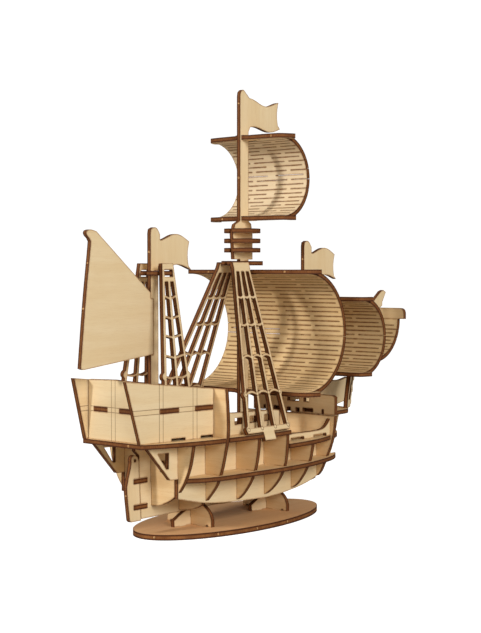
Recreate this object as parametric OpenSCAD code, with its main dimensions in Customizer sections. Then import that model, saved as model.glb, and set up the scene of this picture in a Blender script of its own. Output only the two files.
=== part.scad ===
// Laser-cut plywood galleon on an oval display base.
// Flat interlocking plates: X forward (bow), Y to port, Z up, origin at the middle
// of the underside of the base. All sizes in millimetres.

/* [Sheet] */
// Plywood sheet thickness of the ship
ply = 2.5; // [2:0.1:3]
// Thickness of the base board
base_t = 3; // [2:0.1:5]
// Side play left in every slot
slot_play = 0.05; // [0.03:0.01:0.1]

/* [Base and cradle] */
// Length of the oval base
base_l = 140; // [120:1:180]
// Width of the oval base
base_w = 65; // [50:1:90]
// Distance from the middle of the base to each cradle cross
cradle_x = 32.5; // [25:0.5:40]
// Width of a cradle cross
cradle_w = 33; // [28:0.5:40]

/* [Hull] */
// Height of the underside of the keel above the table
keel_z = 11.2; // [9:0.1:14]
// Half distance between the outer faces of the two side plates
side_y = 21; // [17:0.5:23]
// Position of bulkhead frame 2 (front of the sterncastle)
frame2_x = -43.4; // [-48:0.1:-40]
// Spacing of the midship frames
frame_gap = 24.2; // [22:0.1:26]
// Height of the underside of the lower wale
wale_z = 31.2; // [28:0.1:33]
// Height of the underside of the stern and waist decks
deck_z = 51.5; // [49:0.1:55]
// Height of the underside of the fore and bow decks
fore_z = 43.8; // [41:0.1:46]
// Height of the underside of the forecastle deck
fc_z = 57.6; // [55:0.1:60]
// Half width of the waist deck amidships
beam = 38.5; // [36.5:0.1:42]

/* [Sterncastle] */
// Half width of the transom between the side panels
transom_w = 18.8; // [16:0.1:20]
// Aft end of the stern deck
stern_x = -92.5; // [-98:0.5:-88]
// Height of the underside of the castle deck
castle_z = 68.8; // [64:0.1:74]
// Height of the castle side panels at the stern
castle_top = 86.5; // [80:0.5:95]

/* [Masts] */
// Total height of the model to the tip of the main mast
total_h = 245; // [225:1:270]
// Gap between frame 4 and the main mast
main_gap = 0.1; // [0.05:0.05:1]
// Width of the main mast blade
main_w = 7.3; // [6:0.1:9]
// Aft edge of the mizzen mast
mizzen_x = -64.6; // [-67:0.1:-63]
// Width of the mizzen mast blade
mizzen_w = 5.8; // [5:0.1:7]
// Aft edge of the fore mast
fore_x = 67; // [66:0.1:68]
// Width of the fore mast blade
fore_w = 6; // [5:0.1:7]
// Radius of the crow's nest discs
nest_r = 10.4; // [9:0.1:12]

/* [Sails] */
// Half width of the main course sail
course_w = 44; // [38:0.5:48]
// Height of the underside of the upper course yard
course_top = 140.3; // [138:0.1:142]
// Height of the top face of the lower course yard
course_bot = 74.6; // [72:0.1:80]
// Half width of the topsail
top_w = 26; // [22:0.5:30]
// Height of the underside of the upper topsail yard
topsail_top = 216.6; // [212:0.1:220]
// Height of the top face of the lower topsail yard
topsail_bot = 173.2; // [172:0.1:178]
// Half width of the fore sail
foresail_w = 40; // [34:0.5:42]
// Height of the underside of the upper fore yard
foresail_top = 124.2; // [122:0.1:126]
// Height of the top face of the lower fore yard
foresail_bot = 82.2; // [82:0.1:84]
// Half width of the spritsail
sprit_w = 25; // [20:0.5:28]
// Spacing of the bending slits around each sail
slit_pitch = 3.05; // [2.7:0.05:5]
// Width of a bending slit
slit_w = 0.25; // [0.2:0.05:0.6]

/* [Hidden] */
t = ply;
e = slot_play;
frame_x = [frame2_x - 21.3, frame2_x, frame2_x + frame_gap + 1, frame2_x + 2*frame_gap + 0.4,
           frame2_x + 3*frame_gap + 0.4, frame2_x + 4*frame_gap + 0.4];
lap_z = 34;                       // where frames and side plates meet in their half laps
keel_lap = 30;                    // where frames and keel meet
waist_end = frame_x[3] + t;       // front face of frame 4
main_x = waist_end + main_gap;    // aft edge of the main mast
f6_front = frame_x[5] + t;
deck_top = deck_z + t;
fore_top = fore_z + t;
fc_top = fc_z + t;
castle_floor = castle_z + t;
side_mid = side_y - t/2;
wood = [0.89, 0.78, 0.58];
wood2 = [0.85, 0.73, 0.52];

// ---- helpers ---------------------------------------------------------------
// plate drawn in X-Z, thickness centred on y
module plate_xz(y) translate([0, y + t/2, 0]) rotate([90, 0, 0]) linear_extrude(t) children();
// plate drawn in Y-Z, aft face at x
module plate_yz(x) translate([x, 0, 0]) rotate([90, 0, 90]) linear_extrude(t) children();
// plate drawn in X-Y, underside at z
module plate_xy(z) translate([0, 0, z]) linear_extrude(t) children();
// rectangle from corner to corner
module rect(a, b) translate([min(a[0], b[0]), min(a[1], b[1])])
    square([abs(b[0] - a[0]), abs(b[1] - a[1])]);
// box from corner to corner
module box(a, b) translate([min(a[0], b[0]), min(a[1], b[1]), min(a[2], b[2])])
    cube([abs(b[0] - a[0]), abs(b[1] - a[1]), abs(b[2] - a[2])]);
// smooth curve through control points
function cr1(a, b, c, d, u) = 0.5*((2*b) + (c - a)*u + (2*a - 5*b + 4*c - d)*u*u
    + (3*b - a - 3*c + d)*u*u*u);
function curve(p, n = 4) = let (m = len(p))
    concat([for (i = [0:m - 2]) for (j = [0:n - 1])
        cr1(p[max(i - 1, 0)], p[i], p[i + 1], p[min(i + 2, m - 1)], j/n)], [p[m - 1]]);
function rev(p) = [for (i = [len(p) - 1:-1:0]) p[i]];
function flip_x(p) = [for (q = p) [-q[0], q[1]]];
function flip_y(p) = [for (q = p) [q[0], -q[1]]];
function mix(a, b, u) = a + (b - a)*u;
// symmetric outline from one half given as [y, z] from the top edge to the middle
module both_sides(h) polygon(concat(h, rev(flip_x(h))));
// symmetric plan from one half given as [x, y] from aft to forward
module plan(h) polygon(concat(h, rev(flip_y(h))));

// ---- base and cradle -------------------------------------------------------
module oval(l, w, n = 120) polygon([for (i = [0:n - 1]) [l/2*cos(360*i/n), w/2*sin(360*i/n)]]);

module base_plate() color(wood) difference() {
    linear_extrude(base_t) oval(base_l, base_w);
    for (s = [-1, 1]) {
        for (m = [-1, 1]) {
            box([s*cradle_x - t/2 - e, m*6 - 0, -1], [s*cradle_x + t/2 + e, m*(11 + e), base_t + 1]);
            box([s*cradle_x + m*5, -t/2 - e, -1], [s*cradle_x + m*(10 + e), t/2 + e, base_t + 1]);
        }
    }
}

module cradle_cross(x) color(wood2) plate_yz(x - t/2) difference() {
    union() {
        both_sides(concat([[0, base_t]], [[cradle_w/2, base_t]], curve([[cradle_w/2, 7],
            [cradle_w/2 - 1.8, 10.8], [cradle_w/2 - 5.5, 14], [8.4, 14.8], [6.5, 14.2]], 5),
            [[1.6, keel_z + 0.3], [0, keel_z + 0.3]]));
        for (m = [-1, 1]) rect([m*(6 + e), 0], [m*11, base_t + 1]);
    }
    rect([-t/2 - e, base_t - 1], [t/2 + e, 7]);
    rect([-t/2 - e, keel_z], [t/2 + e, 20]);
    for (m = [-1, 1]) translate([m*13.4, base_t]) circle(0.9, $fn = 24);
}

module cradle_rib(x) color(wood2) plate_xz(0) difference() {
    union() {
        polygon(concat([[x - 14.2, base_t], [x + 14.2, base_t]],
            curve([[x + 14.6, 6.6], [x + 9, 9.4], [x + 5, keel_z]], 4),
            curve([[x - 5, keel_z], [x - 9, 9.4], [x - 14.6, 6.6]], 4)));
        for (m = [-1, 1]) rect([x + m*(5 + e), 0], [x + m*10, base_t + 1]);
    }
    rect([x - t/2 - e, 7], [x + t/2 + e, 20]);
}
module stand_aft_cross() cradle_cross(-cradle_x);
module stand_aft_rib() cradle_rib(-cradle_x);
module stand_fore_cross() cradle_cross(cradle_x);
module stand_fore_rib() cradle_rib(cradle_x);

// ---- hull frames -----------------------------------------------------------
// half outlines [y, z] from the top edge down to the middle line
frame_half = [
    [[31.2, deck_z], [29.3, 42], [26.4, 34.4], [22.9, 28.4], [18.6, 23.8], [12, 19.9], [6.3, 17.9], [0, 17.5]],
    [[35.2, 80], [36.1, 68], [36.3, 56], [34.4, 46], [31.8, 36], [28.3, 28], [23.4, 21.8], [18.4, 17],
     [11, 13.6], [0, 12.2]],
    [[36.6, deck_z], [35.8, 43], [33.7, 34], [29.5, 25.5], [22.5, 17.6], [12, 13.6], [0, 12.2]],
    [[37.4, deck_z], [36.9, 43], [35.3, 34], [30.5, 25], [22, 17.2], [12, 15.8], [0, 15.4]],
    [[36.3, fore_z], [34.4, 35], [29.7, 25.8], [22.7, 18.2], [12, 16], [0, 15.4]],
    [[34.2, fc_z], [33.4, 50], [31.7, 42], [27.2, 32], [22.4, 22.8], [12, 17], [0, 15]]];
// outboard end of each frame's wale notch
wale_mid = [23.9, 26.5, 28, 28.6, 28, 25];

module frame(i) color(wood2) plate_yz(frame_x[i]) difference() {
    both_sides(concat([[0, frame_half[i][0][1]]], curve(frame_half[i], 5)));
    rect([-t/2 - e, 0], [t/2 + e, keel_lap]);
    for (m = [-1, 1]) {
        rect([m*(side_y - t - e), 0], [m*(side_y + e), lap_z]);
        if (i > 0) rect([m*wale_mid[i], wale_z - e/2], [m*60, wale_z + t + e/2]);
        if (i != 1 && i != 5) rect([m*8, 36], [m*14, 42]);
    }
}
module frame_1() frame(0);
module frame_2() difference() {
    frame(1);
    // door between waist and castle, and the slots of the castle deck
    box([frame_x[1] - 1, -5, deck_top + 2], [frame_x[1] + t + 1, 5, deck_top + 12.5]);
    for (m = [-1, 1]) box([frame_x[1] - 1, m*8, castle_z - e/2],
        [frame_x[1] + t + 1, m*(16 + e), castle_floor + e/2]);
}
module frame_3() frame(2);
module frame_4() frame(3);
module frame_5() frame(4);
module frame_6() frame(5);

module keel_plate() color(wood) difference() {
    plate_xz(0) difference() {
        polygon(concat(
            [[-76.5, deck_z], [-76.5, deck_z - 4], [-73.6, deck_z - 6.5], [-73.6, 38]],
            [[-72.2, keel_z], [34, keel_z]],
            curve([[44, 12.6], [60, 18.6], [72, 28], [79, 40], [82, 50], [83, fc_z]], 5),
            [[f6_front, fc_z], [f6_front, fore_z], [waist_end, fore_z], [waist_end, deck_z]]));
        // gaps that take the frames from above
        for (i = [0:5]) rect([frame_x[i] - e, keel_lap], [frame_x[i] + t + e, 90]);
        // bow deck enters from forward
        rect([66, fore_z - e/2], [95, fore_z + t + e/2]);
        for (i = [1:4]) rect([frame_x[i] + 7, 20], [frame_x[i] + 18, 27]);
        strap_cut();
    }
}

module side_plate(m) color(wood) plate_xz(m*side_mid) difference() {
    polygon(concat(
        [[frame_x[0] - 22.8, deck_z], [frame_x[0] - 5.8, lap_z - 0.6], [frame_x[0], lap_z - 0.6]],
        curve([[frame_x[0], 22.9], [-45, 18.4], [-27, 16.4], [-8, 15.3], [12, 14.9], [32, 16.6],
            [48, 19.6], [57, 23.2], [64.5, 29.4], [69.5, 37.5], [73, 47.5], [76.4, fc_z]], 5),
        [[f6_front, fc_z], [f6_front, fore_z], [waist_end, fore_z], [waist_end, deck_z]]));
    for (i = [0:5]) rect([frame_x[i] - e, lap_z], [frame_x[i] + t + e, 90]);
    rect([66, fore_z - e/2], [95, fore_z + t + e/2]);
    // bracket window under the stern deck
    polygon([[frame_x[0] - 15.2, deck_z - 3.4], [frame_x[0] - 7, deck_z - 3.6],
        [frame_x[0] - 7, deck_z - 12], [frame_x[0] - 8.8, deck_z - 12]]);
}
module side_plate_starboard() side_plate(-1);
module side_plate_port() side_plate(1);

module wale(m) color(wood) plate_xy(wale_z) difference() {
    polygon([for (q = concat([[frame_x[0] + t + e, side_y + e]], curve([[frame_x[0] + t + e, 25.2],
        [frame_x[0] + 9, 29.2], [frame_x[1], 33.3], [frame_x[2], 35.6], [frame_x[3], 37.2], [frame_x[4], 36.1],
        [frame_x[5], 31], [66, 25.6], [71.5, side_y + e + 0.6]], 5), [[71.5, side_y + e]])) [q[0], m*q[1]]]);
    for (i = [1:5]) rect([frame_x[i] - e, 0], [frame_x[i] + t + e, m*wale_mid[i]]);
}
module wale_starboard() wale(-1);
module wale_port() wale(1);

// ---- decks -----------------------------------------------------------------
module stern_deck() color(wood) plate_xy(deck_z) difference() {
    plan(concat([[stern_x, 0], [stern_x, 21.4]], curve([[stern_x + 1.2, 22.6], [-80, 27.6], [-65, 32.2],
        [-52, 34.9], [frame_x[1] - e, 35.9]], 5), [[frame_x[1] - e, 0]]));
    rect([mizzen_x - e, -t/2 - e], [mizzen_x + mizzen_w + e, t/2 + e]);
}
module waist_deck() color(wood) plate_xy(deck_z) difference() {
    plan(concat([[f2f + e, 0]], curve([[f2f + e, beam - 2.2], [frame_x[2], beam - 0.5],
        [-6, beam], [waist_end + 0.3, beam]], 5), [[waist_end + 0.3, 14], [waist_end + 18, 14],
        [waist_end + 22, 10], [waist_end + 22, 0]]));
    rect([main_x - e, -t/2 - e], [main_x + main_w + e, t/2 + e]);
    for (m = [-1, 1]) rect([-15.2, m*(beam - 4.6)], [-5.3, m*50]);
    rect([-30, -9], [-17, 9]);
}
f2f = frame_x[1] + t;
module fore_deck() color(wood) plate_xy(fore_z) difference() {
    plan(concat([[waist_end + e, 0]], curve([[waist_end + e, beam - 0.5], [26, 37.4], [40, 35.4],
        [frame_x[5] - e, 31.4]], 5), [[frame_x[5] - e, 0]]));
    rect([main_x - e, -t/2 - e], [main_x + main_w + e, t/2 + e]);
}
module bow_deck() color(wood) plate_xy(fore_z) difference() {
    plan(concat([[f6_front + e, 0]], curve([[f6_front + e, 30.6], [66, 26.6], [76, 19], [83, 9], [85, 0]], 6)));
    rect([50, -t/2 - e], [66, t/2 + e]);
    for (m = [-1, 1]) rect([50, m*(side_y - t - e)], [66, m*(side_y + e)]);
}
module forecastle_deck() color(wood) plate_xy(fc_z) difference() {
    plan(concat([[wall_x + t + e, 0]], curve([[wall_x + t + e, 31], [72, 29.6], [79, 25],
        [84, 15], [86, 0]], 5)));
    rect([fore_x - e, -t/2 - e], [fore_x + fore_w + e, t/2 + e]);
}

// ---- sterncastle -----------------------------------------------------------
castle_yaw = 6.7;                 // panels open out toward the bow
castle_y = 27.2;                  // outer face of the panels at frame 2
module transom() color(wood) plate_yz(stern_x + 1.5) difference() {
    both_sides([[0, castle_top - 0.6], [transom_w, castle_top - 1.2], [transom_w, deck_top], [0, deck_top]]);
    for (m = [-1, 1]) rect([m*4.4, castle_z - e/2], [m*14.6, castle_floor + e/2]);
}
// place a drawing in the plane of the starboard castle panel, x = 0 at frame 2
module on_castle(m) mirror([0, m > 0 ? 1 : 0, 0]) translate([frame_x[1] - 0.35, -castle_y, 0])
    rotate([0, 0, -castle_yaw]) children();
module castle_side(m) color(wood) on_castle(m) translate([0, t, 0]) rotate([90, 0, 0])
    linear_extrude(t) difference() {
        polygon([[0, deck_top], [0, castle_top - 6.6], [-58.6, castle_top], [-49.4, deck_top]]);
        for (k = [0, 1]) rect([-36.5 + 23.6*k, castle_z - e/2], [-24 + 23.6*k, castle_floor + e/2]);
        for (k = [0, 1]) rect([-29 + 20*k, deck_top - 1], [-19.6 + 19*k, deck_top + 1.5]);
    }
module castle_side_starboard() castle_side(-1);
module castle_side_port() castle_side(1);
module castle_deck() color(wood2) difference() {
    union() {
        plate_xy(castle_z) plan([[stern_x + 1.5 + t + e, 0], [stern_x + 1.5 + t + e, transom_w - 0.3],
            [frame_x[1] - 0.4, castle_y - t - 0.25], [frame_x[1] - 0.4, 0]]);
        for (m = [-1, 1]) {
            box([stern_x + 1.5, m*(4.4 + e), castle_z], [stern_x + 6, m*(14.6 - e), castle_floor]);
            box([frame_x[1] - 3, m*(8 + e), castle_z], [frame_x[1] + t, m*16, castle_floor]);
            on_castle(m) for (k = [0, 1])
                box([-36.5 + e + 23.6*k, 0, castle_z], [-24 - e + 23.6*k, 6, castle_floor]);
        }
    }
    box([mizzen_x - e, -t/2 - e, 50], [mizzen_x + mizzen_w + e, t/2 + e, 90]);
    box([-84, -9, 50], [-74, 9, 90]);
}

// ---- bulwarks and forecastle -----------------------------------------------
module bulwark_aft(m) color(wood) plate_xz(m*29.2) difference() {
    polygon(concat([[waist_end, deck_top], [waist_end, 64.6]],
        curve([[2, 65.4], [-20, 65.8], [-34, 66.4], [-38, 68.2], [f2f + e, 74]], 5),
        [[f2f + e, deck_top]]));
    for (k = [0:2]) rect([-30.4 + 12.4*k, 59.6], [-24.4 + 12.4*k, 63.2]);
}
module bulwark_aft_starboard() bulwark_aft(-1);
module bulwark_aft_port() bulwark_aft(1);
module bulwark_fore(m) color(wood) plate_xz(m*29.8) difference() {
    polygon(concat([[waist_end + 0.4, fore_top], [waist_end + 0.4, 50.2]],
        curve([[20, 50.4], [36, 50.2], [46, 50.6], [50.5, 52.6], [frame_x[5] - e, 56]], 5),
        [[frame_x[5] - e, fore_top]]));
    for (k = [0, 1]) rect([17 + 21*k, fore_top - 1], [29 + 21*k, fore_top + 1.7]);
}
module bulwark_fore_starboard() bulwark_fore(-1);
module bulwark_fore_port() bulwark_fore(1);

wall_x = 58.2;                    // aft face of the forecastle wall
module forecastle_wall() color(wood) plate_yz(wall_x) difference() {
    both_sides([[0, 69.5], [29, 69], [31, 68.2], [31, fc_z + e], [0, fc_z + e]]);
    rect([-4.4, 64.2], [4.4, 66.3]);
    for (m = [-1, 1]) {
        rect([m*8, 64.2], [m*12.2, 66.5]);
        rect([m*2, fc_z - 1], [m*4.8, 60.3]);
        rect([m*7.2, fc_z + 0.7], [m*15, 60.5]);
        rect([m*21.4, fc_z - 1], [m*23, 60.5]);
    }
}

// ---- rudder ----------------------------------------------------------------
strap_z = [16.6, 30.3];
module strap_cut() for (z = strap_z) rect([-77.6 - e, z - e/2], [-67.8 + e, z + t + e/2]);
module rudder() color(wood) plate_xz(0) difference() {
    polygon(concat([[-72.25, keel_z - 0.8], [-73.65, 38], [-73.65, 42]],
        curve([[-74.6, 44.2], [-76.6, 45.4], [-78.8, 44.8], [-79.6, 43]], 5),
        curve([[-79.3, 41.6], [-80.2, 37.6], [-82, 31.4], [-82.5, 27], [-81.6, 19], [-80.6, 11.4]], 5),
        [[-79.6, keel_z - 0.8]]));
    strap_cut();
    translate([-76.6, 42.6]) circle(0.8, $fn = 24);
}
module rudder_strap(z) color(wood2) box([-77.6, -1.8, z], [-67.8, 1.8, z + t]);
module rudder_strap_lower() rudder_strap(strap_z[0]);
module rudder_strap_upper() rudder_strap(strap_z[1]);

// ---- masts -----------------------------------------------------------------
// flag with waving edges; x0 hoist, z0 and z1 mean top and bottom, l length, k kind of wave
function flag_top(u, k) = k == 0 ? 1.7*cos(330*u) : 1.9*sin(300*(u - 0.28)) - pow(u, 4);
function flag_low(u, k) = k == 0 ? 1.4*cos(330*u - 50) + 1.6*u*u : 1.7*sin(300*(u - 0.28));
module flag(x0, z0, z1, l, k) polygon(concat(
    [for (i = [0:18]) [x0 + l*i/18, z0 + flag_top(i/18, k)]],
    [for (i = [1:7]) [x0 + l - 1.3*sin(180*i/8), mix(z0 + flag_top(1, k), z1 + flag_low(1, k), i/8)]],
    [for (i = [18:-1:0]) [x0 + (l + 1.5)*i/18, z1 + flag_low(i/18, k)]]));

main_c = main_x + main_w/2;
nest_z = [152.6, 157.9, 163.6];
module main_mast() color(wood) plate_xz(0) difference() {
    union() {
        polygon(concat([[main_x, fore_z + e], [main_x, 148.6], [main_c - 8.8, 148.6],
            [main_c - 9.4, 156.6], [main_c - 10, 162.9], [main_c - 8, 168.4], [main_x, 170.6],
            [main_x, total_h - 4]],
            curve([[main_x + 0.4, total_h - 1.6], [main_x + 2.6, total_h], [main_x + 5, total_h - 1.6],
                [main_x + main_w + 2, total_h - 5.2]], 4),
            [[main_x + main_w + 2, 225], [main_x + main_w, 221.4], [main_x + main_w, 170.6],
             [main_c + 6, 169], [main_c + 7.2, 162.9], [main_c + 7.2, 156.6], [main_c + 7.2, 148.6],
             [main_x + main_w, 148.6], [main_x + main_w, fore_z + e]]));
        flag(main_x + main_w + 1, 239, 223.3, 26, 0);
    }
    // notches that take the nest discs from forward
    for (z = nest_z) rect([main_c, z - e/2], [main_c + 20, z + t + e/2]);
    rect([main_c, 145.2 - e/2], [main_c + 20, 145.2 + t + e/2]);
    translate([main_x + main_w + 2.6, 223.2]) circle(1.1, $fn = 24);
}
module nest_disc(z) color(wood) difference() {
    translate([main_c - 0.4, 0, z]) cylinder(r = nest_r, h = t, $fn = 96);
    box([main_c - 30, -t/2 - e, z - 1], [main_c, t/2 + e, z + t + 1]);
}
module nest_disc_lower() nest_disc(nest_z[0]);
module nest_disc_middle() nest_disc(nest_z[1]);
module nest_disc_upper() nest_disc(nest_z[2]);
module main_crosstree() color(wood) plate_xy(145.2) difference() {
    plan([[main_c - 15, 0], [main_c - 15, 3], [main_c + 6, 3], [main_c + 8, 5], [main_c + 12, 5],
        [main_c + 12, 0]]);
    rect([main_c - 30, -t/2 - e], [main_c, t/2 + e]);
}

module mizzen_mast() color(wood) plate_xz(0) difference() {
    union() {
        polygon(concat([[mizzen_x, deck_z], [mizzen_x, 162]],
            curve([[mizzen_x + 0.5, 164.2], [mizzen_x + 3, 165.2], [mizzen_x + 5.2, 164.4],
                [mizzen_x + mizzen_w + 1.4, 161.5]], 4),
            [[mizzen_x + mizzen_w + 1.4, 148], [mizzen_x + mizzen_w, 144], [mizzen_x + mizzen_w, deck_z]]));
        flag(mizzen_x + mizzen_w + 0.6, 160.2, 143.8, 23.6, 1);
    }
    // recess that takes the lateen sail, and the crosstree notch
    rect([mizzen_x - 5, 97.5], [mizzen_x + 2, 127.4]);
    rect([mizzen_x + mizzen_w/2, tree_z - e/2], [mizzen_x + 20, tree_z + t + e/2]);
}
module lateen_sail() color(wood) plate_xz(0) polygon(concat(
    [[mizzen_x + 2 - e, 97.5 + e], [mizzen_x - e, 97.5 + e], [-112.7, 92.2], [-114.6, 92.8]],
    curve([[-114.6, 93.4], [-111.4, 125], [-108.2, 150], [-107.4, 157]], 3),
    curve([[-108.4, 158.6], [-110.4, 160.4], [-110.2, 162.2], [-107.6, 163], [-103.6, 162.2]], 4),
    [[mizzen_x - e, 130.6], [mizzen_x - e, 127.4 - e], [mizzen_x + 2 - e, 127.4 - e]]));
module mizzen_crosstree() color(wood) plate_xy(tree_z) difference() {
    plan([[mizzen_x - 3, 0], [mizzen_x - 3, 3.4], [mizzen_x + 1.6, 6], [mizzen_x + 1.6, 9.2],
        [mizzen_x + 7.8, 9.2], [mizzen_x + 7.8, 0]]);
    rect([mizzen_x - 30, -t/2 - e], [mizzen_x + mizzen_w/2, t/2 + e]);
}

// ladder of ropes: xb/xt foot and head ends, n columns; each row of bars is [height, radius of
// the deadeye at its ends, rise of each bar's arch, dip of the row at the middle leg]
module ladder(xb, xt, h, n, rows, leg, bar) difference() {
    union() {
        polygon([[xb[0], 0], [xb[1], 0], [xt[1], h], [xt[0], h]]);
        for (k = [0:n]) for (j = [0:len(rows) - 1]) if (rows[j][1] > 0)
            translate([mix(mix(xb[0], xt[0], rows[j][0]/h) + leg/2,
                mix(xb[1], xt[1], rows[j][0]/h) - leg/2, k/n), rows[j][0]]) circle(rows[j][1], $fn = 32);
    }
    for (j = [0:len(rows) - 2]) for (k = [0:n - 1]) polygon(concat(
        cell_end(xb, xt, h, n, k, rows[j], leg, bar/2),
        rev(cell_end(xb, xt, h, n, k, rows[j + 1], leg, -bar/2))));
}
// edge of an opening along one row of bars, from its aft leg to its forward leg
function cell_end(xb, xt, h, n, k, row, leg, off) = [for (i = [0:6])
    let (a = mix(xb[0], xt[0], row[0]/h), b = mix(xb[1], xt[1], row[0]/h), p = (b - a - leg)/n,
        x = mix(a + leg + p*k, a + p*(k + 1), i/6), u = (k + i/6)/n)
    [x, row[0] + off + row[2]*4*(i/6)*(1 - i/6) - row[3]*(1 - abs(2*u - 1))]];
// stand a ladder on the side at y, foot at z, leaning in by a degrees
module lean(m, y, z, a) mirror([0, m > 0 ? 1 : 0, 0]) translate([0, -y, z])
    rotate([-a, 0, 0]) translate([0, t, 0]) rotate([90, 0, 0]) linear_extrude(t) children();

main_lean = 19;
module main_shroud(m) color(wood) difference() {
    lean(m, beam - 0.9, deck_top + 0.9, main_lean) difference() {
        union() {
            ladder([-27.5, 8], [-3.4, 9.4], 96.5, 3, [[2.2, 1.9, 0, 0], [21.4, 1.9, 1.3, 0],
                [42, 0, 1.1, 0], [61, 0, -0.7, 0], [77, 0, -0.6, 0], [92.6, 0, 0, 0]], 1.6, 1.4);
            rect([-27.5, 0], [8, 2.2]);
            rect([-14.9, -4.8], [-5.6, 0.2]);
            rect([-4, 93.4], [9.9, 97.4]);
        }
    }
    box([main_x - 1, -3, 100], [main_x + main_w + 1, 3, 170]);
}
module main_shroud_starboard() main_shroud(-1);
module main_shroud_port() main_shroud(1);
mizzen_lean = 6.2;
tree_z = 139.6;                   // underside of the mizzen crosstree
module mizzen_shroud(m) color(wood) lean(m, 17.4, castle_floor + 0.3, mizzen_lean) difference() {
    ladder([-70.6, -49.4], [-64.2, -55.8], 75, 2, [[2, 1.6, 0, 0], [15.4, 2.2, -0.8, 0.4],
        [26.3, 0, 0, 1.2], [36.9, 0, 0, 1.2], [46.9, 0, 0, 1.2], [57.5, 0, 0, 1.2], [65.8, 0, 0, 0]], 1.7, 1.1);
    rect([mizzen_x + 1.6 - e, tree_z - castle_floor - 0.5],
        [mizzen_x + 7.8 + e, tree_z + t - castle_floor + 0.8]);
}
module mizzen_shroud_starboard() mizzen_shroud(-1);
module mizzen_shroud_port() mizzen_shroud(1);

module fore_mast() color(wood) plate_xz(0) union() {
    polygon(concat([[fore_x, fc_z], [fore_x, 157]],
        curve([[fore_x + 0.5, 159.2], [fore_x + 3, 160.2], [fore_x + 5.2, 159.2],
            [fore_x + fore_w + 1.4, 156.4]], 4),
        [[fore_x + fore_w + 1.4, 140], [fore_x + fore_w, 137], [fore_x + fore_w, fc_z]]));
    flag(fore_x + fore_w + 0.6, 154.4, 138, 24, 1);
}

// ---- square sails ----------------------------------------------------------
// bending slits of a sheet of outer radius r and half width w, from angle a0 to angle a1: rows
// closed at the side edges take turns with rows that run out through them
module slit_rows(r, w, a0, a1) {
    n = 2*round(r*abs(a1 - a0)*PI/360/slit_pitch);
    for (i = [0:n]) rotate([0, mix(a0, a1, i/n), 0]) for (m = [-1, 1])
        if (i % 2 == 0) slit(r, m*3, m*(w - 2.5));
        else {
            slit(r, m*(w/2 + 1.5), m*(w + 1));
            if (m > 0) slit(r, 1.5 - w/2, w/2 - 1.5);
        }
}
module slit(r, a, b) box([r - t - 1, a, -slit_w/2], [r + 1, b, slit_w/2]);
// curved sail in front of two yards, its ends level with them; bx is the front face of the mast,
// z0 and z1 are the underside of the lower yard and the top of the upper one
module sail(bx, z0, z1, w) {
    r = (z1 - z0)/2;
    color(wood) translate([bx + sail_gap, 0, (z0 + z1)/2]) difference() {
        union() {
            rotate([90, 0, 0]) linear_extrude(2*w, center = true) difference() {
                circle(r, $fn = 120);
                circle(r - t, $fn = 120);
                rect([-r - 1, -r - 1], [0, r + 1]);
            }
            // tabs that sit in the front edges of the yards
            for (m = [-1, 1]) for (k = [-1, 1])
                box([-tab, m*(0.55*w - 5), k*(r - t)], [1, m*(0.55*w + 5), k*(r - 0.02)]);
        }
        slit_rows(r, w, 79, -79);
        // notches for the yards' tongues
        for (k = [-1, 1]) box([-1, -4 - e, k*(r - t - 2)], [4.4 - sail_gap + e, 4 + e, k*(r + 1)]);
    }
}
sail_gap = 0.9;                   // from the mast to the yards' front edge behind a sail
tab = 2.2;
// yard plate around the mast behind a sail of half width w; bx front face of the mast, l half length
module yard(bx, z, w, l, back, front) color(wood) plate_xy(z) difference() {
    plan(concat([[bx - 6.4, 0], [bx - 6.4, 3]], curve([[bx - 4.4, 5], [bx - 4.2, l*0.4], [bx - 3.8, w - 8],
        [bx - 2.9, w - 2], [bx - 1.2, w + 0.8], [bx + back + 1.2, l - 0.4]], 4),
        curve([[bx + back + 3.6, l], [bx + front + 1.4, l - 2.2], [bx + front + 0.4, w + e]], 4),
        [[bx + sail_gap - e, w + e], [bx + sail_gap - e, 4], [bx + 4.4, 4], [bx + 4.4, 0]]));
    rect([bx - 30, -t/2 - e], [bx + e, t/2 + e]);
    for (m = [-1, 1]) rect([bx + sail_gap - tab - e, m*(0.55*w - 5 - e)], [bx + 3, m*(0.55*w + 5 + e)]);
}
mf = main_x + main_w;
module course_sail() sail(mf, course_bot - t, course_top + t, course_w);
module course_yard_upper() yard(mf, course_top, course_w, course_w + 5, 3, 7.6);
module course_yard_lower() yard(mf, course_bot - t, course_w, course_w + 4.4, 3, 7.6);
module topsail() sail(mf, topsail_bot - t, topsail_top + t, top_w);
module topsail_yard_upper() yard(mf, topsail_top, top_w, top_w + 4.2, 3, 7.2);
module topsail_yard_lower() yard(mf, topsail_bot - t, top_w, top_w + 4.8, 3, 7.2);
ff = fore_x + fore_w;
module fore_sail() sail(ff, foresail_bot - t, foresail_top + t, foresail_w);
module fore_yard_upper() yard(ff, foresail_top, foresail_w, foresail_w + 3, 3, 7.2);
module fore_yard_lower() yard(ff, foresail_bot - t, foresail_w, foresail_w + 2.6, 3, 7.2);

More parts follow.
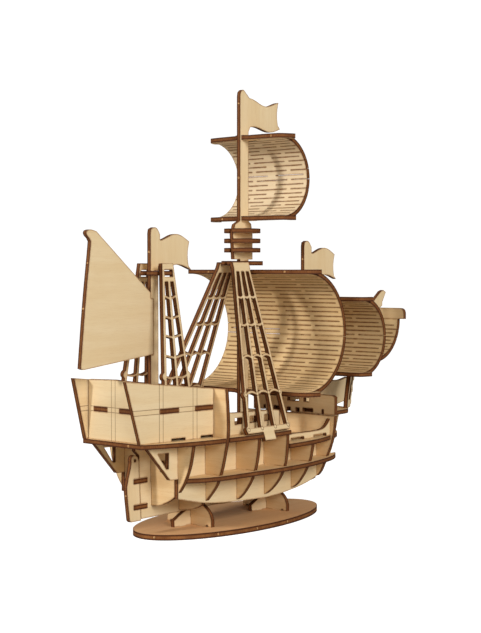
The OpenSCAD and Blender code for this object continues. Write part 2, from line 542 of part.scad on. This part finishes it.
// ---- bowsprit --------------------------------------------------------------
sprit_x = 132;                    // aft face of the sprit yard
function bow_up(x) = 121.2 + (x - 137.7)*0.738;   // upper edge of the bowsprit
module bowsprit() color(wood) plate_xz(0) difference() {
    polygon([[ff + e, fc_top], [ff + e, bow_up(ff)], [148, bow_up(148)], [150.6, 129.6], [153.4, 128.2],
        [149.4, 121.8], [149.4, 119.6], [sprit_x + t + 2, bow_up(sprit_x + t + 2) - 8],
        [91, bow_up(91) - 8.6], [90.4, 75.6],
        [96, 74.2], [104, 74], [112, 75.4], [113.6, 73.4], [112, 66], [108.6, 60.6], [100, 59],
        [87, fc_top], [84.5, fc_top]]);
    rect([sprit_x - e, 115.2], [sprit_x + t + e, 150]);
    // hollow that the foot of the fore sail rests in
    translate([ff + sail_gap, (foresail_bot + foresail_top)/2])
        circle((foresail_top - foresail_bot)/2 + t + e, $fn = 120);
    translate([79.4, 68]) circle(2, $fn = 32);
}
module sprit_yard() color(wood) plate_yz(sprit_x) difference() {
    both_sides(concat([[0, 118.7], [26, 118.7]], curve([[27.6, 118.5], [29, 117.4], [29.6, 115.6]], 4),
        [[29.6, 111.9], [0, 111.9]]));
    rect([-t/2 - e, 100], [t/2 + e, 115.2]);
}
module sprit_sail() color(wood) translate([sprit_x + t - 26, 0, 111.9]) difference() {
    rotate([90, 0, 0]) linear_extrude(2*sprit_w, center = true) difference() {
        circle(26, $fn = 120);
        circle(26 - t, $fn = 120);
        rect([-40, -40], [0, 40]);
        rect([-40, 0], [40, 40]);
    }
    slit_rows(26, sprit_w, 10, 84);
    box([10, -t/2 - e, -7], [40, t/2 + e, 5]);
}
// stay ladder from the forecastle edge to the bowsprit
module bow_stay(m) color(wood) mirror([0, m > 0 ? 1 : 0, 0]) translate([75.6, -26, 0])
    rotate([0, 0, 27.2]) translate([0, t/2, 0]) rotate([90, 0, 0]) linear_extrude(t) difference() {
        union() {
            polygon([[0, fc_top], [10.5, fc_top], [37, 91], [50.6, 103.6], [48.6, 108], [11.6, 77.6], [1, 64]]);
            for (k = [0:2]) translate([13 + 6*k, 63.4 + 6.6*k]) circle(1.8, $fn = 32);
        }
        for (k = [0:3]) polygon([[4.4 + 9*k, 65 + 7.6*k], [9.6 + 8.6*k, 64.4 + 9*k],
            [14.6 + 8.6*k, 70 + 9*k], [12.6 + 9*k, 74.8 + 7.4*k]]);
    }
module bow_stay_starboard() bow_stay(-1);
module bow_stay_port() bow_stay(1);

base_plate();
stand_aft_cross();
stand_aft_rib();
stand_fore_cross();
stand_fore_rib();
keel_plate();
side_plate_starboard();
side_plate_port();
frame_1();
frame_2();
frame_3();
frame_4();
frame_5();
frame_6();
wale_starboard();
wale_port();
stern_deck();
waist_deck();
fore_deck();
bow_deck();
forecastle_deck();
transom();
castle_side_starboard();
castle_side_port();
castle_deck();
bulwark_aft_starboard();
bulwark_aft_port();
bulwark_fore_starboard();
bulwark_fore_port();
forecastle_wall();
rudder();
rudder_strap_upper();
rudder_strap_lower();
main_mast();
nest_disc_lower();
nest_disc_middle();
nest_disc_upper();
main_crosstree();
mizzen_mast();
lateen_sail();
mizzen_crosstree();
main_shroud_starboard();
main_shroud_port();
mizzen_shroud_starboard();
mizzen_shroud_port();
fore_mast();
course_sail();
course_yard_upper();
course_yard_lower();
topsail();
topsail_yard_upper();
topsail_yard_lower();
fore_sail();
fore_yard_upper();
fore_yard_lower();
bowsprit();
sprit_yard();
sprit_sail();
bow_stay_starboard();
bow_stay_port();
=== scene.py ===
"""Laser-cut plywood galleon on its oval stand: finishes, laser marks, edge stubs and studio.

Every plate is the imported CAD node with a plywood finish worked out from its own
sheet: veneer on the two faces, burnt plies on the cut edge, score lines and
smoke along the cuts. The stubs that the holding bridges leave on the edges are
the only new pieces. Lengths in the finishes are millimetres, all others metres.
"""
import math

import bpy
import numpy as np
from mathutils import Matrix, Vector


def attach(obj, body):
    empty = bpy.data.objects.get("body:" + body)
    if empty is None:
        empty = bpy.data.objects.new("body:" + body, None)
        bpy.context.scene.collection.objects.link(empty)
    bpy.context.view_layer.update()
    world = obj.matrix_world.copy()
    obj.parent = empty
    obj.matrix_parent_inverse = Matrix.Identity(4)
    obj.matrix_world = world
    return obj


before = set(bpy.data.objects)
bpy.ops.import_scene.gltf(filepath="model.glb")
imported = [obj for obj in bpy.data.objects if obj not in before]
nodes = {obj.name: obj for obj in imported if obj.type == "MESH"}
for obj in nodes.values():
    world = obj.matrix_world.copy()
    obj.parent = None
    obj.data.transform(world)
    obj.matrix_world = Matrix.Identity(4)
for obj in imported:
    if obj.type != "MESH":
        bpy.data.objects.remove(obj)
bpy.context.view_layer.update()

X, Y, Z = (1.0, 0.0, 0.0), (0.0, 1.0, 0.0), (0.0, 0.0, 1.0)
MM = 1000.0             # millimetres in a metre
SHEET = 2.5             # thickness of the plywood, mm
CASTLE_YAW = 6.7        # degrees that the castle sides open out toward the bow
MAIN_LEAN = 19.0        # degrees that the main shrouds lean in
MIZZEN_LEAN = 6.2       # degrees that the mizzen shrouds lean in
STAY_YAW = 27.2         # degrees that the bow stays turn in toward the bowsprit
CASTLE_LINES = (68.9, 71.4)  # heights of the pair of scored lines round the castle, mm
SHROUD_FOOT = 39.668    # distance of a main shroud's foot from the origin in its own plane, mm


# ---- finishes ---------------------------------------------------------------
class Finish:
    """One material and short calls that wire its nodes."""

    def __init__(self, name):
        self.material = bpy.data.materials.new(name)
        self.material.use_nodes = True
        self.tree = self.material.node_tree
        self.tree.nodes.clear()

    def place(self):
        """point of the object in millimetres"""
        return self.add("ShaderNodeVectorMath", {0: self.add("ShaderNodeTexCoord", {}, out="Object"), "Scale": MM},
                        operation="SCALE")

    def surface(self, **inputs):
        """principled shader on the material's output; a name's underscores stand for spaces"""
        shader = self.add("ShaderNodeBsdfPrincipled", {key.replace("_", " "): value for key, value in inputs.items()})
        self.tree.links.new(shader, self.tree.nodes.new("ShaderNodeOutputMaterial").inputs["Surface"])
        return self.material

    def seed(self, name):
        """number from 0 to 50 that sets one plate's grain apart from the next one's"""
        return (sum(map(ord, name)) * 7.31) % 50

    def add(self, kind, inputs, out=0, **settings):
        node = self.tree.nodes.new(kind)
        for key, value in settings.items():
            setattr(node, key, value)
        for key, value in inputs.items():
            if isinstance(value, bpy.types.NodeSocket):
                self.tree.links.new(value, node.inputs[key])
            else:
                node.inputs[key].default_value = value
        return node.outputs[out]

    def math(self, op, a, b=0.0):
        return self.add("ShaderNodeMath", {0: a, 1: b}, operation=op)

    def dot(self, a, axis):
        return self.add("ShaderNodeVectorMath", {0: a, 1: axis}, out="Value", operation="DOT_PRODUCT")

    def vector(self, x, y, z):
        return self.add("ShaderNodeCombineXYZ", {0: x, 1: y, 2: z})

    def ramp(self, value, lo, hi, to_lo=0.0, to_hi=1.0):
        """value from lo to hi becomes to_lo to to_hi, eased at both ends"""
        return self.add("ShaderNodeMapRange", {0: value, 1: lo, 2: hi, 3: to_lo, 4: to_hi},
                        interpolation_type="SMOOTHSTEP")

    def noise(self, at, scale=1.0, detail=2.0, roughness=0.5, distortion=0.0):
        return self.add("ShaderNodeTexNoise", {"Vector": at, "Scale": scale, "Detail": detail,
                        "Roughness": roughness, "Distortion": distortion})

    def mix(self, share, a, b):
        """colour a where share is 0 and b where it is 1"""
        return self.add("ShaderNodeMix", {0: share, 6: a, 7: b}, out=2, data_type="RGBA")


def colour(r, g, b):
    """linear colour of an 8-bit screen colour"""
    return tuple(((v / 255 + 0.055) / 1.055) ** 2.4 if v > 10 else v / 3294.6 for v in (r, g, b)) + (1.0,)


VENEER = {  # pale, middle and warm tone of a face
    "panel": (colour(240, 217, 176), colour(230, 201, 153), colour(210, 172, 120)),
    # frame: a darker, warmer copy of the panel plywood, painted shade for the frames, decks, yards, wales and stand
    # crosses
    "frame": (colour(236, 206, 158), colour(222, 184, 132), colour(198, 154, 100)),
    # topsail: the paler copy of the sail plywood, painted light for the lit topsail
    "topsail": (colour(236, 216, 182), colour(224, 199, 160), colour(204, 173, 131)),
    # sail: a warmer, darker copy of the same plywood, painted shade for the lower sails that hang in shade
    "sail": (colour(232, 203, 154), colour(219, 184, 130), colour(197, 155, 101)),
    "base": (colour(234, 186, 134), colour(222, 170, 118), colour(200, 146, 96)),
}
CHAR, BURNT, CORE = colour(64, 29, 10), colour(106, 58, 22), colour(162, 106, 54)
SMOKE = colour(150, 98, 52)


def plywood(f, tone, u, v, w, face, thickness, seed, scores=(), rings=()):
    """Plywood seen in sheet coordinates, added to the finish f.

    u runs along the grain, v across it and w through the sheet from its middle,
    all in mm; face is 1 on the two faces and 0 on the cut edge. The veneer is
    long stretched noise for the fibres, wider noise for the growth bands and
    short dark flecks. The cut edge is charred at both rims and paler in the
    core ply. Smoke darkens a face within about half a millimetre of a cut.
    """
    pale, middle, warm = VENEER[tone]
    grain = f.vector(f.math("MULTIPLY", u, 0.045), v, seed)
    bands = f.noise(f.vector(f.math("MULTIPLY", u, 0.014), f.math("MULTIPLY", v, 0.22), seed + 3.1),
                    1.0, 3.0, 0.55, 0.6)
    fibres = f.noise(grain, 3.4, 3.0, 0.62)
    flecks = f.noise(f.vector(f.math("MULTIPLY", u, 0.5), f.math("MULTIPLY", v, 5.0), seed + 7.7), 1.0, 1.0, 0.4)
    cloud = f.noise(f.vector(u, v, seed + 5.0), 0.045, 2.0, 0.5)
    veneer = f.mix(f.ramp(bands, 0.3, 0.72, 0.15, 0.75), pale, middle)
    veneer = f.mix(f.ramp(fibres, 0.46, 0.8, 0.0, 0.34), veneer, warm)
    veneer = f.mix(f.ramp(flecks, 0.64, 0.74, 0.0, 0.3), veneer, warm)
    veneer = f.mix(f.ramp(cloud, 0.42, 0.7, 0.0, 0.3), veneer, middle)

    rim = f.add("ShaderNodeAmbientOcclusion", {"Distance": 0.00085}, out="AO",
                samples=8, inside=True, only_local=True)
    smoke = f.math("MULTIPLY", f.ramp(rim, 0.62, 0.98, 0.85, 0.0),
                   f.ramp(f.noise(f.vector(u, v, w), 0.35, 2.0), 0.3, 0.7, 0.6, 1.0))
    veneer = f.mix(smoke, veneer, SMOKE)

    marks = 0.0
    for axis, at, start, end in scores:
        across, along = (u, v) if axis == "u" else (v, u)
        line = f.ramp(f.math("ABSOLUTE", f.math("SUBTRACT", across, at)), 0.1, 0.26, 1.0, 0.0)
        inside = f.math("MULTIPLY", f.math("GREATER_THAN", along, start), f.math("LESS_THAN", along, end))
        marks = f.math("MAXIMUM", marks, f.math("MULTIPLY", line, inside))
    for cu, cv, radius in rings:
        reach = f.math("SQRT", f.math("ADD", f.math("POWER", f.math("SUBTRACT", u, cu), 2.0),
                                      f.math("POWER", f.math("SUBTRACT", v, cv), 2.0)))
        ring = f.ramp(f.math("ABSOLUTE", f.math("SUBTRACT", reach, radius)), 0.12, 0.3, 1.0, 0.0)
        marks = f.math("MAXIMUM", marks, ring)
    if scores or rings:
        veneer = f.mix(f.math("MULTIPLY", marks, 0.72), veneer, BURNT)

    depth = f.math("DIVIDE", f.math("ABSOLUTE", w), thickness / 2)
    streaks = f.noise(f.vector(u, v, f.math("MULTIPLY", w, 0.15)), 2.6, 3.0, 0.6)
    patches = f.noise(f.vector(u, v, w), 0.16, 2.0, 0.5)
    edge = f.mix(f.ramp(depth, 0.35, 0.95), BURNT, CHAR)
    core = f.math("MULTIPLY", f.ramp(depth, 0.28, 0.52, 1.0, 0.0), f.ramp(patches, 0.3, 0.7, 0.25, 0.95))
    edge = f.mix(f.math("MULTIPLY", core, 0.85 if tone == "base" else 0.5), edge, CORE)
    edge = f.mix(f.ramp(streaks, 0.42, 0.75, 0.0, 0.6), edge, CHAR)

    skin = f.mix(face, edge, veneer)
    rough = f.math("ADD", f.math("MULTIPLY", face, -0.16), f.ramp(fibres, 0.2, 0.8, 0.72, 0.82))
    relief = f.math("SUBTRACT", f.math("ADD", f.math("MULTIPLY", fibres, 0.5), f.math("MULTIPLY", flecks, 0.4)),
                    f.math("MULTIPLY", marks, 2.0))
    normal = f.add("ShaderNodeBump", {"Strength": 0.35, "Distance": 0.00006, "Height": relief})
    return f.surface(Base_Color=skin, Roughness=rough, Normal=normal, IOR=1.45, Specular_IOR_Level=0.32)


def sheet_range(node, axis):
    """Lowest and highest reach of a node along an axis, in mm."""
    mesh = nodes[node].data
    co = np.empty(len(mesh.vertices) * 3, np.float32)
    mesh.vertices.foreach_get("co", co)
    reach = co.reshape(-1, 3) @ np.array(axis) * MM
    return float(reach.min()), float(reach.max())


def flat_plate(node, tone, normal, grain, scores=(), rings=()):
    """Finish of a flat plate.

    u is the point along the grain, v the point along normal x grain and w the
    point along the normal less the middle of the sheet; a face looks along the
    normal.
    """
    f = Finish(node + "_ply")
    n, g = Vector(normal).normalized(), Vector(grain).normalized()
    across = n.cross(g)
    point = f.place()
    lo, hi = sheet_range(node, n)
    face = f.ramp(f.math("ABSOLUTE", f.dot(f.add("ShaderNodeTexCoord", {}, out="Normal"), n)), 0.6, 0.8)
    nodes[node].data.materials.clear()
    nodes[node].data.materials.append(plywood(
        f, tone, f.dot(point, g), f.dot(point, across), f.math("SUBTRACT", f.dot(point, n), (lo + hi) / 2),
        face, hi - lo, f.seed(node), scores, rings))


def bent_sheet(node, tone, axis_x, axis_z, radius):
    """Finish of a sail bent about a line along Y at (axis_x, axis_z).

    u is Y, v is the arc length radius * angle and w is the distance from the
    line less the middle radius; a face looks along the radius.
    """
    f = Finish(node + "_ply")
    point = f.place()
    x = f.math("SUBTRACT", f.dot(point, X), axis_x)
    z = f.math("SUBTRACT", f.dot(point, Z), axis_z)
    arc = f.math("MULTIPLY", f.math("ARCTAN2", z, x), radius)
    reach = f.math("SQRT", f.math("ADD", f.math("MULTIPLY", x, x), f.math("MULTIPLY", z, z)))
    outward = f.add("ShaderNodeVectorMath", {0: f.vector(x, 0.0, z)}, operation="NORMALIZE")
    facing = f.add("ShaderNodeVectorMath", {0: f.add("ShaderNodeTexCoord", {}, out="Normal"), 1: outward},
                   out="Value", operation="DOT_PRODUCT")
    face = f.ramp(f.math("ABSOLUTE", facing), 0.6, 0.8)
    nodes[node].data.materials.clear()
    nodes[node].data.materials.append(plywood(
        f, tone, f.dot(point, Y), arc, f.math("SUBTRACT", reach, radius - SHEET / 2), face, SHEET, f.seed(node)))


def rope_legs(row):
    """Middle of each of the four legs of a main shroud at a height up the ladder, in mm."""
    share = row / 96.5
    aft, fore = -27.5 + 24.1 * share + 0.8, 8.0 + 1.4 * share - 0.8
    return [aft + (fore - aft) * k / 3 for k in range(4)]


for side in (-1, 1):
    hand = "starboard" if side < 0 else "port"
    yaw = math.radians(CASTLE_YAW)
    along = (math.cos(yaw), side * math.sin(yaw), 0.0)
    normal = (-side * math.sin(yaw), math.cos(yaw), 0.0)
    hinge = Vector((-43.75, side * 27.2, 0.0)).dot(Vector(along))
    handed = Vector(normal).cross(Vector(along)).z
    lines = [("u", hinge - d, -90.0, 90.0) for d in (37.0, 34.5, 14.35, 11.6)]
    lines += [("v", handed * h, -120.0, hinge - 2.0) for h in CASTLE_LINES]
    flat_plate("castle_side_" + hand, "panel", normal, along, lines)
    lean = math.radians(MAIN_LEAN)
    flat_plate("main_shroud_" + hand, "panel", (0.0, math.cos(lean), side * math.sin(lean)), X,
               rings=[(x, -SHROUD_FOOT - row, 1.0) for row in (2.2, 21.4) for x in rope_legs(row)])
    lean = math.radians(MIZZEN_LEAN)
    flat_plate("mizzen_shroud_" + hand, "panel", (0.0, math.cos(lean), side * math.sin(lean)), X)
    yaw = math.radians(STAY_YAW)
    flat_plate("bow_stay_" + hand, "panel", (side * math.sin(yaw), math.cos(yaw), 0.0), Z)
    for name in ("side_plate_", "bulwark_aft_", "bulwark_fore_"):
        flat_plate(name + hand, "panel", Y, X)
    # the frame tone paints shade on the wales
    flat_plate("wale_" + hand, "frame", Z, X)

for name in ("keel_plate", "lateen_sail", "stand_aft_rib", "stand_fore_rib"):
    flat_plate(name, "panel", Y, X)
for name in ("rudder", "main_mast", "mizzen_mast", "fore_mast", "bowsprit"):
    flat_plate(name, "panel", Y, Z)
# frame tone: the plywood darkened as painted shade on these crosses, frames, wall and yard
for name in ("stand_aft_cross", "stand_fore_cross", "frame_1", "frame_2", "frame_3", "frame_4", "frame_5", "frame_6",
             "forecastle_wall", "sprit_yard"):
    flat_plate(name, "frame", X, Y)
flat_plate("transom", "panel", X, Y,
           [("u", at, -90, 90) for at in (1.4, -1.4)] + [("v", h, -17, 17) for h in CASTLE_LINES])
# these decks, crosstrees, straps, discs and yards also take the frame tone, painted shade
for name in ("stern_deck", "waist_deck", "fore_deck", "bow_deck", "forecastle_deck", "castle_deck",
             "main_crosstree", "mizzen_crosstree", "rudder_strap_upper", "rudder_strap_lower"):
    flat_plate(name, "frame", Z, X)
for name in ("nest_disc_lower", "nest_disc_middle", "nest_disc_upper", "course_yard_upper", "course_yard_lower",
             "topsail_yard_upper", "topsail_yard_lower", "fore_yard_upper", "fore_yard_lower"):
    flat_plate(name, "frame", Z, Y)
flat_plate("base_plate", "base", Z, X)
# the course, fore and sprit sails take the sail tone, painted shade; the topsail takes the lit copy
bent_sheet("course_sail", "sail", 16.2, 107.45, 35.35)
bent_sheet("topsail", "topsail", 16.2, 194.9, 24.2)
bent_sheet("fore_sail", "sail", 73.9, 103.2, 23.5)
bent_sheet("sprit_sail", "sail", 108.5, 111.9, 26.0)


# ---- stubs left by the holding bridges --------------------------------------
STUB_RINGS = np.array([-0.15, 0.35, 0.75, 1.0])  # height of each ring, in stub heights
STUB_SIDES = 10
FORWARD, ALONG_Y, ALONG_Z = X, Y, Z


def stub_shape(at, out, along, size, seed):
    """Points of a broken stub on a cut edge, ring by ring.

    Each ring is a rounded rectangle, wide along the edge and as thick as the
    core ply across it: the cosine and sine of the turn, each to the power 0.6
    with its sign kept. Ring by ring it moves outward and narrows by the square
    of its height, and a product of a sine and a cosine of the turn makes the
    broken end uneven.
    """
    turn = np.linspace(0.0, 2 * np.pi, STUB_SIDES, endpoint=False)
    height = STUB_RINGS[:, None]
    above = np.maximum(height, 0.0)
    narrow = 1.0 - 0.45 * above ** 2
    a = np.sign(np.cos(turn)) * np.abs(np.cos(turn)) ** 0.6 * size[0] / 2 * narrow
    b = np.sign(np.sin(turn)) * np.abs(np.sin(turn)) ** 0.6 * size[1] / 2 * narrow
    rise = size[2] * (height + 0.16 * above * np.sin(3 * turn + seed) * np.cos(turn - seed))
    across = np.cross(out, along)
    return (at + a[..., None] * along + b[..., None] * across + rise[..., None] * out).reshape(-1, 3)


def stub_faces(start):
    """Quads between neighbouring rings and a cap at each end, for a stub whose points begin at start."""
    ring, k = np.divmod(np.arange((len(STUB_RINGS) - 1) * STUB_SIDES), STUB_SIDES)
    here, after = ring * STUB_SIDES + k, ring * STUB_SIDES + (k + 1) % STUB_SIDES
    quads = np.stack([here, after, after + STUB_SIDES, here + STUB_SIDES], 1) + start
    top = np.arange(STUB_SIDES) + (len(STUB_RINGS) - 1) * STUB_SIDES + start
    return quads.tolist() + [top.tolist(), (np.arange(STUB_SIDES)[::-1] + start).tolist()]


def stubs(name, body, places):
    """One piece from all the stubs of a body; a place is a node, a start beside it and the way to its edge."""
    points, faces = [], []
    for k, (node, start, towards, along) in enumerate(places):
        hit, at, _, _ = nodes[node].ray_cast(Vector(start), Vector(towards))
        if not hit:
            raise RuntimeError("no edge of " + node + " there")
        out, along = -np.array(Vector(towards).normalized()), np.array(Vector(along).normalized())
        size = (0.0011 + 0.0003 * math.sin(5.0 * k), 0.0013, 0.00042 + 0.0001 * math.cos(3.0 * k))
        faces += stub_faces(k * len(STUB_RINGS) * STUB_SIDES)
        points.append(stub_shape(np.array(at), out, along, size, 1.7 * k))
    mesh = bpy.data.meshes.new(name)
    mesh.from_pydata(np.concatenate(points).tolist(), [], faces)
    mesh.update()
    piece = bpy.data.objects.new(name, mesh)
    bpy.context.scene.collection.objects.link(piece)
    f = Finish(name + "_wood")
    skin = f.mix(f.ramp(f.noise(f.place(), 1.6, 3.0, 0.6), 0.35, 0.7), colour(214, 170, 112), colour(150, 98, 54))
    mesh.materials.append(f.surface(Base_Color=skin, Roughness=0.8, IOR=1.45))
    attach(piece, body)


stubs("ship_edge_stubs", "ship", [
    ("lateen_sail", (-0.2, 0.0, 0.123), FORWARD, ALONG_Z),
    ("lateen_sail", (-0.2, 0.0, 0.146), FORWARD, ALONG_Z),
    ("main_mast", (-0.1, 0.0, 0.237), FORWARD, ALONG_Z),
    ("main_mast", (-0.1, 0.0, 0.195), FORWARD, ALONG_Z),
    ("mizzen_mast", (-0.1, 0.0, 0.152), FORWARD, ALONG_Z),
    ("fore_mast", (0.03, 0.0, 0.149), FORWARD, ALONG_Z),
    ("topsail_yard_upper", (-0.1, -0.0207, 0.21785), FORWARD, ALONG_Y),
    ("topsail_yard_lower", (-0.1, 0.0152, 0.17195), FORWARD, ALONG_Y),
    ("course_yard_upper", (-0.1, -0.031, 0.14155), FORWARD, ALONG_Y),
    ("course_yard_upper", (-0.1, 0.026, 0.14155), FORWARD, ALONG_Y),
    ("stern_deck", (-0.2, -0.0125, 0.05275), FORWARD, ALONG_Y),
    ("rudder", (-0.2, 0.0, 0.0245), FORWARD, ALONG_Z)])
RIM_TURNS = (186, 214, 247, 292, 338, 40, 128)  # degrees round the oval base, from the bow
stubs("stand_edge_stubs", "stand", [
    ("base_plate", (0.2 * math.cos(a), 0.2 * math.sin(a), 0.0016), (-math.cos(a), -math.sin(a), 0.0),
     (-math.sin(a), math.cos(a), 0.0)) for a in map(math.radians, RIM_TURNS)])


# ---- studio -----------------------------------------------------------------
FLOOR_GLOW = 0.92                    # what the floor adds for the camera alone, so that it ends up white
SKY_LIGHT, SKY_SEEN = 0.29, 1.05     # strength of the sky as a light and as the camera sees it
SKY_TINT = (1.0, 0.93, 0.82, 1.0)    # warm bounce of a workshop's walls
WHITE = (1.0, 1.0, 1.0, 1.0)


def area_light(name, at, towards, size, watts, tint=WHITE[:3]):
    """round lamp at a place, turned toward a point"""
    lamp = bpy.data.lights.new(name, "AREA")
    lamp.shape, lamp.size, lamp.energy, lamp.color = "DISK", size, watts, tint
    obj = bpy.data.objects.new(name, lamp)
    obj.location = at
    obj.rotation_mode = "QUATERNION"
    obj.rotation_quaternion = (Vector(towards) - Vector(at)).to_track_quat("-Z", "Y")
    bpy.context.scene.collection.objects.link(obj)


def studio():
    """pale floor, white surroundings, a small key lamp from aft and a wide fill lamp from starboard"""
    mesh = bpy.data.meshes.new("floor")
    mesh.from_pydata([(-40, -40, 0), (40, -40, 0), (40, 40, 0), (-40, 40, 0)], [], [(0, 1, 2, 3)])
    floor = bpy.data.objects.new("floor", mesh)
    bpy.context.scene.collection.objects.link(floor)
    f = Finish("studio_floor")
    wash = f.noise(f.add("ShaderNodeTexCoord", {}, out="Object"), 3.0, 2.0)
    direct = f.add("ShaderNodeLightPath", {}, out="Is Camera Ray")
    paper = f.mix(f.ramp(wash, 0.3, 0.7), (0.44, 0.44, 0.44, 1.0), (0.46, 0.46, 0.46, 1.0))
    mesh.materials.append(f.surface(
        Base_Color=paper, Roughness=0.9, Specular_IOR_Level=0.1, Emission_Color=WHITE,
        Emission_Strength=f.math("MULTIPLY", direct, FLOOR_GLOW)))

    world = bpy.data.worlds.new("studio")
    bpy.context.scene.world = world
    world.use_nodes = True
    tree = world.node_tree
    tree.nodes.clear()
    seen = tree.nodes.new("ShaderNodeLightPath")
    strength = tree.nodes.new("ShaderNodeMapRange")
    strength.inputs["To Min"].default_value = SKY_LIGHT
    strength.inputs["To Max"].default_value = SKY_SEEN
    tint = tree.nodes.new("ShaderNodeMix")
    tint.data_type = "RGBA"
    tint.inputs[6].default_value = SKY_TINT
    tint.inputs[7].default_value = WHITE
    back = tree.nodes.new("ShaderNodeBackground")
    out = tree.nodes.new("ShaderNodeOutputWorld")
    tree.links.new(seen.outputs["Is Camera Ray"], strength.inputs["Value"])
    tree.links.new(seen.outputs["Is Camera Ray"], tint.inputs[0])
    tree.links.new(tint.outputs[2], back.inputs["Color"])
    tree.links.new(strength.outputs[0], back.inputs["Strength"])
    tree.links.new(back.outputs[0], out.inputs["Surface"])
    area_light("key", (-1.72, 0.42, 0.75), (0.0, 0.0, 0.13), 0.22, 18.5, (1.0, 0.985, 0.96))
    area_light("fill", (-0.6, -1.7, 0.85), (0.0, 0.0, 0.1), 0.9, 23.5)


def camera():
    """camera low on the starboard quarter, looking forward and slightly down"""
    lens = bpy.data.cameras.new("camera")
    lens.sensor_width, lens.lens = 36.0, 76.8
    lens.clip_start, lens.clip_end = 0.05, 100.0
    obj = bpy.data.objects.new("camera", lens)
    yaw, pitch = math.radians(40.7), math.radians(-1.96)
    look = Vector((math.cos(yaw) * math.cos(pitch), math.sin(yaw) * math.cos(pitch), math.sin(pitch)))
    obj.location = (-0.5752, -0.5031, 0.1424)
    obj.rotation_mode = "QUATERNION"
    obj.rotation_quaternion = look.to_track_quat("-Z", "Y")
    bpy.context.scene.collection.objects.link(obj)
    bpy.context.scene.camera = obj


studio()
camera()
bpy.context.scene.view_settings.view_transform = "Standard"
